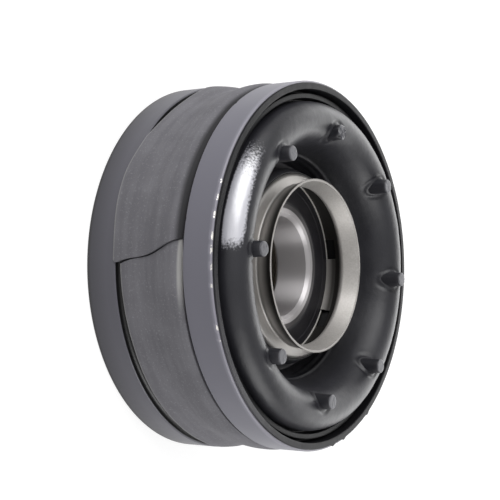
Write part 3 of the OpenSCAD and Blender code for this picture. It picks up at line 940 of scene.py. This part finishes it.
@dataclass
class RubberCushion:
    """The moulded cushion: coat and lip on the ring, front roll with nubs, and hub on the sleeve."""

    ring: OuterRing
    roll_tube_r: float = 6.5 * MM
    roll_gap: float = 2.5 * MM
    roll_wall: float = 3.5 * MM
    roll_drop: float = 1.9 * MM
    lip_w: float = 2.9 * MM
    lip_h: float = 0.5 * MM
    groove_depth: float = 5.8 * MM
    ledge_depth: float = 1.6 * MM
    slot_w: float = 1.0 * MM
    ledge_w: float = 2.0 * MM
    coat_wall: float = 5.0 * MM
    hub_wall: float = 8.8 * MM
    hub_rear_z: float = 12.0 * MM
    collar_wall: float = 1.8 * MM
    flank_depth: float = 13.2 * MM
    well_w: float = 3.9 * MM
    well_depth: float = 4.5 * MM
    shoulder_drop: float = 9.5 * MM
    fit_gap: float = 0.02 * MM
    nub_count: int = 8
    nub_angle: float = 38.0
    nub_inset: float = 3.6 * MM
    nub_foot_r: float = 2.8 * MM
    nub_tip_r: float = 2.45 * MM
    nub_edge_r: float = 0.35 * MM
    nub_spread: float = 0.12 * MM
    torn_nub: int = 3
    torn_drop: float = 1.3 * MM
    wave_h: float = 0.09 * MM
    wave_mm: float = 7.0
    grain_h: float = 0.035 * MM
    grain_mm: float = 1.7
    bead_rise: float = 2.3 * MM
    bead_w: float = 0.55 * MM
    bead_h: float = 0.3 * MM
    highlight_lean: tuple[float, ...] = (-2.0, 8.0, 50.0, 84.0)
    highlight_reach: tuple[float, ...] = (-151.0, -105.0, -104.0, -91.0)
    lit_lip_at: float = -58.0
    lit_lip_reach: float = 24.0
    flash_at: tuple[float, ...] = (6.5, 13.5, 30.5)
    flash_reach: float = 0.9
    flash_h: float = 0.6 * MM
    sections: int = 512
    tip_z: float = field(init=False)
    collar_in_r: float = field(init=False)

    def __post_init__(self) -> None:
        """Takes the nubs' height and the sleeve's radius from the frame."""
        self.tip_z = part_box("rubber_cushion")[1][2]
        self.collar_in_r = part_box("bearing_sleeve")[1][0] + self.fit_gap

    @property
    def channel_in_r(self) -> float:
        """Inner radius of the ring's channel."""
        return self.ring.floor_r - self.ring.wall

    @property
    def roll_r(self) -> float:
        """Radius of the circle through the middle of the roll."""
        return self.channel_in_r - self.roll_gap - self.roll_tube_r

    @property
    def roll_z(self) -> float:
        """Height of the roll's middle."""
        return self.ring.height - self.roll_drop

    @property
    def flank_r(self) -> float:
        """Radius of the edge where the roll's inner flank ends."""
        return self.collar_in_r + self.collar_wall + self.well_w

    @property
    def flank_z(self) -> float:
        """Height of that edge."""
        return self.ring.height - self.flank_depth

    @property
    def lip_in_r(self) -> float:
        """Inner radius of the lip."""
        return self.ring.front_r - self.lip_w

    def outer_outline(self) -> Outline:
        """Gives the rubber on the ring: coat, fill behind the front rim, lip, slot and ledge."""
        ring = self.ring
        gap = self.fit_gap
        back_r = ring.rear_r - ring.wall - gap
        coat_r = self.channel_in_r - gap
        fill_r = ring.front_r - ring.wall - gap
        back_z = ring.rear_h - ring.wall - gap
        fill_z = ring.front_z + ring.wall + gap
        lip_r = ring.front_r - ring.edge_r
        lip_z = ring.height + self.lip_h
        e = 0.7 * self.lip_h
        ledge_r = self.lip_in_r - self.slot_w
        ledge_in_r = ledge_r - self.ledge_w
        ledge_z = ring.height - self.ledge_depth
        groove_z = ring.height - self.groove_depth
        soft = 0.45 * MM
        return [
            (self.channel_in_r - self.coat_wall, ring.edge_r),
            (back_r, ring.edge_r),
            (back_r, back_z),
            (coat_r, back_z),
            (coat_r, fill_z),
            (fill_r, fill_z),
            (fill_r, ring.height + gap),
            (lip_r, ring.height + gap),
            *arc((lip_r - e, lip_z - e), e, 0, 90, 4),
            *stretch((lip_r - 1.3 * e, lip_z), (self.lip_in_r + 1.3 * e, lip_z), 4),
            *arc((self.lip_in_r + e, lip_z - e), e, 90, 180, 4),
            (self.lip_in_r, groove_z),
            (ledge_r, groove_z),
            *arc((ledge_r - soft, ledge_z - soft), soft, 0, 90, 4),
            *arc((ledge_in_r + soft, ledge_z - soft), soft, 90, 180, 4),
            (ledge_in_r, groove_z),
            (self.roll_r + self.roll_tube_r, groove_z),
        ]

    def roll_outline(self) -> Outline:
        """Gives the roll over its crest, its inner flank, the well, the collar and the hub's rear end."""
        ring = self.ring
        collar_r = self.collar_in_r + self.collar_wall
        shoulder_z = ring.height - self.shoulder_drop
        crest = arc((self.roll_r, self.roll_z), self.roll_tube_r, 0, 135, 46)
        foot = Vector((self.roll_r - 0.97 * self.roll_tube_r, self.roll_z))
        flank_end = Vector((self.flank_r + 0.2 * MM, self.flank_z + 0.7 * MM))
        flank_mid = foot.lerp(flank_end, 0.6)
        lean = (Vector(crest[-1]) - Vector(crest[-2])).normalized() * 4 * MM
        fall = (flank_end - foot).normalized() * 4 * MM
        flank = interpolate_bezier(crest[-1], Vector(crest[-1]) + lean, flank_mid - fall, flank_mid, 18)
        well_r = self.flank_r - MM
        well_z = self.flank_z - self.well_depth
        bead = 0.5 * MM
        soft = 0.8 * MM
        return [
            *crest,
            *[tuple(point) for point in flank[1:-1]],
            *stretch(flank_mid, flank_end, 20),
            *arc((self.flank_r + bead - 0.35 * MM, self.flank_z), bead, 165, 215, 4),
            *stretch((self.flank_r - 0.2 * MM, self.flank_z - 0.7 * MM), (well_r, well_z + soft), 6),
            *arc((well_r - soft, well_z + soft), soft, 0, -90, 4),
            *arc((collar_r + soft, well_z + soft), soft, -90, -180, 4),
            *stretch((collar_r, well_z + 1.5 * soft), (collar_r, shoulder_z - self.collar_wall), 6),
            (self.collar_in_r + self.collar_wall / 4, shoulder_z + self.collar_wall / 4),
            (self.collar_in_r, shoulder_z + self.collar_wall / 4),
            (self.collar_in_r, self.hub_rear_z),
            (self.collar_in_r + self.hub_wall, self.hub_rear_z),
        ]

    def hollow_outline(self) -> Outline:
        """Gives the space inside the roll, from the hub up over its top and down to the coat."""
        hollow_r = self.roll_tube_r - self.roll_wall
        coat_in_r = self.channel_in_r - self.coat_wall
        return [
            *arc((self.roll_r, self.roll_z), hollow_r, 176, 4, 20),
            (coat_in_r, self.roll_z - 2 * self.roll_tube_r),
        ]

    def nub_place(self, number: int) -> Vector:
        """Gives the place of a nub's axis, counted from the first angle."""
        angle = math.radians(self.nub_angle + number * 360.0 / self.nub_count)
        return Vector((math.cos(angle), math.sin(angle))) * (self.roll_r - self.nub_inset)

    def nub_relief(self, away: float) -> float:
        """Gives the height of the fillet and of the moat round a nub, at a distance from its axis."""
        fillet = 0.3 * hump(away, self.nub_foot_r, 0.35 * MM)
        moat = 0.4 * hump(away - self.nub_foot_r, 0.9 * MM, 0.6 * MM)
        return (fillet - moat) * MM

    def raise_nub(self, bm: BMesh, number: int) -> None:
        """Sets one stop nub on the roll, with a rough tip.

        Args:
            bm: the cushion's mesh.
            number: which nub, counted from the first angle.
        """
        ragged = number == self.torn_nub
        foot_z = self.roll_z + 0.1 * self.roll_tube_r
        tip_z = self.tip_z - (self.torn_drop if ragged else self.nub_spread * (number % 3))
        nub = bmesh.new()
        torn = nub.verts.layers.float.new("torn")
        bmesh.ops.create_cone(
            nub,
            cap_ends=True,
            segments=40,
            radius1=self.nub_foot_r,
            radius2=self.nub_tip_r,
            depth=tip_z - foot_z,
            matrix=Matrix.Translation((*self.nub_place(number), (foot_z + tip_z) / 2)),
        )
        rim = [side for side in nub.edges if min(c.co.z for c in side.verts) > tip_z - 0.01 * MM]
        soft = {"offset": self.nub_edge_r, "offset_type": "OFFSET", "segments": 3, "profile": 0.5}
        bmesh.ops.bevel(nub, geom=rim, affect="EDGES", **soft)
        tip = [face for face in nub.faces if face.calc_center_median().z > tip_z - 0.01 * MM]
        for _ in range(4):
            bmesh.ops.inset_region(nub, faces=tip, thickness=0.45 * MM)
        upright = [side for side in nub.edges if abs(side.verts[0].co.z - side.verts[1].co.z) > MM]
        bmesh.ops.subdivide_edges(nub, edges=upright, cuts=6)
        for corner in nub.verts:
            rise = smooth_step(corner.co.z, tip_z - 0.3 * MM, tip_z - 0.1 * MM)
            rough = noise.noise(corner.co * per(1.1))
            corner[torn] = rise
            corner.co.z -= (0.9 if ragged else 0.2) * MM * abs(rough) * rise
            if ragged:
                corner.co.xy += Vector((rough, noise.noise(corner.co * per(0.8)))) * 0.6 * MM
        mesh = bpy.data.meshes.new("nub")
        nub.to_mesh(mesh)
        nub.free()
        bm.from_mesh(mesh)
        bpy.data.meshes.remove(mesh)

    def painted_highlight(self, point: Vector) -> float:
        """Gives how much painted highlight lies on a point of the roll."""
        lean = angle_of(Vector((point.xy.length - self.roll_r, point.z - self.roll_z)))
        return plateau(lean, *self.highlight_lean) * plateau(angle_of(point), *self.highlight_reach)

    def roughen(self, bm: BMesh) -> None:
        """Gives the moulded faces slight waves, marks the painted highlight, dust with painted highlight, and
        dull rubber with painted shade, and leaves flash on the lip.
        """
        highlight_layer = bm.verts.layers.float["painted_highlight"]
        dust = bm.verts.layers.float["dust"]
        dull = bm.verts.layers.float["dull"]
        bm.normal_update()
        lip_z = self.ring.height + self.lip_h
        nubs = [self.nub_place(number) for number in range(self.nub_count)]
        for corner in bm.verts:
            radius = corner.co.xy.length
            # painted shade on the collar's bore, where it meets the sleeve
            if abs(radius - self.collar_in_r) < 0.1 * MM:
                corner[dull] = 1.0
            if corner.co.z < self.flank_z - 0.5 * MM or radius < self.collar_in_r + 3 * MM:
                corner[dust] = 0.5 * float(radius > self.collar_in_r + MM)
                continue
            angle = angle_of(corner.co)
            if radius < self.roll_r + self.roll_tube_r + 0.2 * MM:
                # painted highlight: marks the pale patch on the roll
                corner[highlight_layer] = self.painted_highlight(corner.co)
                wave = self.wave_h * noise.noise(corner.co * per(self.wave_mm))
                wave += self.grain_h * noise.noise(corner.co * per(self.grain_mm))
                near = min((corner.co.xy - place).length for place in nubs)
                raised = smooth_step(corner.co.z, self.roll_z, self.roll_z + 3 * MM)
                bead = hump(corner.co.z - self.flank_z, self.bead_rise, self.bead_w)
                bead *= float(radius < self.roll_r - 0.8 * self.roll_tube_r)
                # painted highlight: a pale line on the bead along the near side
                corner[dust] = bead * smooth_step(math.cos(math.radians(angle - 165)), 0.1, 0.7)
                corner.co += corner.normal * (wave + raised * self.nub_relief(near) + self.bead_h * bead)
                continue
            on_lip = smooth_step(corner.co.z, self.ring.height - MM, self.ring.height)
            # painted light: the lip is lighter on its lower side
            lit_low_left = hump(turn_from(angle, self.lit_lip_at), 0.0, self.lit_lip_reach)
            corner[dust] = on_lip * (0.05 + 0.3 * lit_low_left)
            # partly a duller finish and partly painted shade in the slot and groove; less of it on the lip's
            # lower side, which is painted light
            corner[dull] = 0.8 - 0.5 * on_lip * lit_low_left
            if corner.co.z > self.ring.height:
                corner.co.z += 0.06 * MM * min(0.0, noise.noise(corner.co * per(3.0)))
                flash = sum(hump(turn_from(angle, at), 0.0, self.flash_reach) for at in self.flash_at)
                if radius > self.ring.front_r - 1.2 * MM and corner.co.z < lip_z:
                    corner.co.xy *= 1 + self.flash_h * flash / radius

    def build(self) -> None:
        """Models the cushion: one turned section, then its nubs."""
        outline = [*self.outer_outline(), *self.roll_outline(), *self.hollow_outline()]
        bm = spin_outline(outline, self.sections)
        for mark in ("painted_highlight", "torn", "dust", "dull"):
            bm.verts.layers.float.new(mark)
        self.roughen(bm)
        for number in range(self.nub_count):
            self.raise_nub(bm, number)
        bmesh.ops.recalc_face_normals(bm, faces=bm.faces)
        make_piece(bm, "rubber_moulding", CUSHION_RUBBER, "rubber_cushion")


@dataclass
class SealFace:
    """The rubber of a seal: a face with a raised bead, a shallow groove and a running lip."""

    node: str
    name: str
    faces_rear: bool = False
    lip_r: float = 21.94 * MM
    foot_depth: float = 0.49 * MM
    groove_depth: float = 0.1 * MM
    sections: int = 256

    def outline(self) -> Outline:
        """Gives the seal's section inside the solid seal's box, with its face to the front or to the rear."""
        low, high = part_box(self.node)
        outer, tall = high[0], high[2] - low[2]
        deep = tall - self.groove_depth
        step = 1.18 * MM
        section = [
            (self.lip_r, 0.0),
            (self.lip_r + step, 0.0),
            (self.lip_r + step, self.foot_depth),
            (outer, self.foot_depth),
            *arc((outer - 0.15 * MM, tall - 0.15 * MM), 0.15 * MM, 0, 90, 3),
            *stretch((outer - 0.5 * MM, tall), (outer - 2.6 * MM, tall), 3),
            *arc((outer - 2.6 * MM, tall - 0.1 * MM), 0.1 * MM, 90, 160, 2),
            *stretch((outer - 2.8 * MM, deep), (self.lip_r + 1.6 * MM, deep), 4),
            (self.lip_r + 1.5 * MM, deep + 0.06 * MM),
            (self.lip_r + 1.1 * MM, tall - 0.02 * MM),
            (self.lip_r + 0.5 * MM, tall - 0.02 * MM),
            (self.lip_r + 0.1 * MM, tall - 0.16 * MM),
            (self.lip_r, tall - 0.3 * MM),
        ]
        return [(r, high[2] - z if self.faces_rear else low[2] + z) for r, z in section]

    def build(self) -> None:
        """Models the seal's rubber."""
        bm = spin_outline(self.outline(), self.sections)
        even_shading(make_piece(bm, self.name, SEAL_RUBBER, self.node))


@dataclass
class SolidPieces:
    """The frame's own solids that stay in view, with the finish of each."""

    nodes: dict[str, Piece]

    def finishes(self) -> dict[str, Finish]:
        """Lists the finish of each solid by its name or the start of its name."""
        return {
            "bearing_sleeve": SLEEVE_SHEET,
            "rear_dust_cover": COVER_SHEET,
            "bearing_": RACE_STEEL,
            "ball_": BALL_STEEL,
            "cage_": CAGE_SHEET,
            "rear_seal_core": PAINTED_HIGHLIGHT_CORE,
            "front_seal_core": PAINTED_HIGHLIGHT_CORE,
        }

    def dress(self) -> None:
        """Gives each solid the first finish that fits its name."""
        for name, solid in self.nodes.items():
            finish = next((f for start, f in self.finishes().items() if name.startswith(start)), None)
            if finish is None:
                continue
            for slot in solid.material_slots:
                slot.material = finish.material()
            LOG.info("%s keeps its solid, with %s", name, finish.name)


@dataclass
class Studio:
    """White floor and surround, soft lamps, and the camera at the photograph's place."""

    floor_r: float = 4.0
    floor_colour: str = "#a8a8a8"
    eye_mm: Place = (-1.908, -366.43, 268.65)
    aim_mm: Place = (-5.778, 5.945, 16.02)
    up: Place = (-0.99988, 0.0, 0.01526)
    lens_mm: float = 90.635
    sensor_mm: float = 36.0
    sky: float = 0.35
    floor_glow: float = 0.75
    # painted shadow: the floor's glow is off inside this radius and full past the next
    painted_shadow_r: float = 55 * MM
    painted_shadow_edge_r: float = 60 * MM
    middle_z: float = 27 * MM
    lamp_distance: float = 0.9

    def seen_plainly(self, tree: Tree) -> Socket:
        """Gives 1 for rays that the camera, a gloss or a glass sends, and 0 for the light's own bounces."""
        path = add(tree, "LightPath")
        rays = {0: path.outputs["Is Camera Ray"], 1: path.outputs["Is Glossy Ray"]}
        direct = add(tree, "Math", rays, operation="MAXIMUM")
        rays = {0: direct, 1: path.outputs["Is Transmission Ray"]}
        return add(tree, "Math", rays, operation="MAXIMUM").outputs[0]

    def make_floor(self) -> None:
        """Lays the pale floor; it shows white and keeps the part's shadow, and inside the ring its glow is
        taken out as painted shadow.
        """
        bm = bmesh.new()
        bmesh.ops.create_circle(bm, cap_ends=True, segments=96, radius=self.floor_r)
        mesh = bpy.data.meshes.new("studio_floor")
        bm.to_mesh(mesh)
        bm.free()
        pale = bpy.data.materials.new("pale_floor")
        pale.use_nodes = True
        tree = pale.node_tree
        tree.nodes.clear()
        matte = add(tree, "BsdfDiffuse", {"Color": self.floor_colour})
        where = add(tree, "TexCoord").outputs["Object"]
        away = add(tree, "VectorMath", {0: where}, operation="LENGTH").outputs["Value"]
        # painted shadow: no glow inside the ring
        inside = {"From Min": self.painted_shadow_r, "From Max": self.painted_shadow_edge_r, "To Max": self.floor_glow}
        clear = add(tree, "MapRange", {"Value": away, **inside})
        glow = add(tree, "Math", {0: self.seen_plainly(tree), 1: clear}, operation="MULTIPLY")
        lit = add(tree, "Emission", {"Strength": glow})
        add(tree, "OutputMaterial", {"Surface": add(tree, "AddShader", {0: matte, 1: lit})})
        mesh.materials.append(pale)
        floor = bpy.data.objects.new("studio_floor", mesh)
        bpy.context.scene.collection.objects.link(floor)

    def make_world(self) -> None:
        """Surrounds the part with a soft white tent."""
        world = bpy.data.worlds.new("white_tent")
        world.use_nodes = True
        bpy.context.scene.world = world
        tree = world.node_tree
        tree.nodes.clear()
        seen = self.seen_plainly(tree)
        strength = add(tree, "MapRange", {"Value": seen, "To Min": self.sky, "To Max": 1.0})
        tent = add(tree, "Background", {"Strength": strength})
        add(tree, "OutputWorld", {"Surface": tent})

    def add_lamp(self, name: str, toward: Place, size: tuple[float, float], watts: float) -> None:
        """Adds one soft box that faces the part.

        Args:
            name: the lamp's name.
            toward: direction from the part to the lamp.
            size: width and height of the lamp in metres.
            watts: its power.
        """
        lamp = bpy.data.lights.new(name, "AREA")
        lamp.shape = "RECTANGLE"
        lamp.size, lamp.size_y = size
        lamp.energy = watts
        holder = bpy.data.objects.new(name, lamp)
        way = Vector(toward).normalized()
        holder.location = Vector((0, 0, self.middle_z)) + way * self.lamp_distance
        holder.rotation_euler = way.to_track_quat("Z", "Y").to_euler()
        bpy.context.scene.collection.objects.link(holder)

    def make_camera(self) -> None:
        """Puts the camera where the photograph was taken from, turned so that the shaft lies level."""
        eye = Vector(self.eye_mm) * MM
        back = (eye - Vector(self.aim_mm) * MM).normalized()
        right = Vector(self.up).cross(back).normalized()
        up = back.cross(right)
        turn = Matrix((right, up, back)).transposed()
        lens = bpy.data.cameras.new("camera")
        lens.lens = self.lens_mm
        lens.sensor_width = self.sensor_mm
        lens.clip_start = 0.01
        camera = bpy.data.objects.new("camera", lens)
        camera.matrix_world = Matrix.Translation(eye) @ turn.to_4x4()
        bpy.context.scene.collection.objects.link(camera)
        bpy.context.scene.camera = camera

    def build(self) -> None:
        """Makes the whole studio."""
        self.make_floor()
        self.make_world()
        self.add_lamp("key_softbox", (-0.75, -0.42, 0.5), (0.7, 0.7), 7.0)
        self.add_lamp("low_softbox", (0.85, -0.2, 0.42), (0.6, 0.6), 4.5)
        self.add_lamp("back_panel", (0.0, 1.0, 0.3), (1.6, 0.7), 10.0)
        self.make_camera()
        bpy.context.scene.view_settings.view_transform = "Standard"


def main() -> None:
    """Loads the frame, models the rubber and the ring around it, dresses the solids and sets the studio."""
    logging.basicConfig(level=logging.INFO, format="%(name)s: %(message)s")
    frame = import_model()
    ring = OuterRing()
    ring.build()
    InsulatorStrip(ring).build()
    RubberCushion(ring).build()
    SealFace("front_seal", "front_seal_face").build()
    SealFace("rear_seal", "rear_seal_face", faces_rear=True).build()
    SolidPieces(frame["nodes"]).dress()
    Studio().build()


if __name__ == "__main__":
    main()
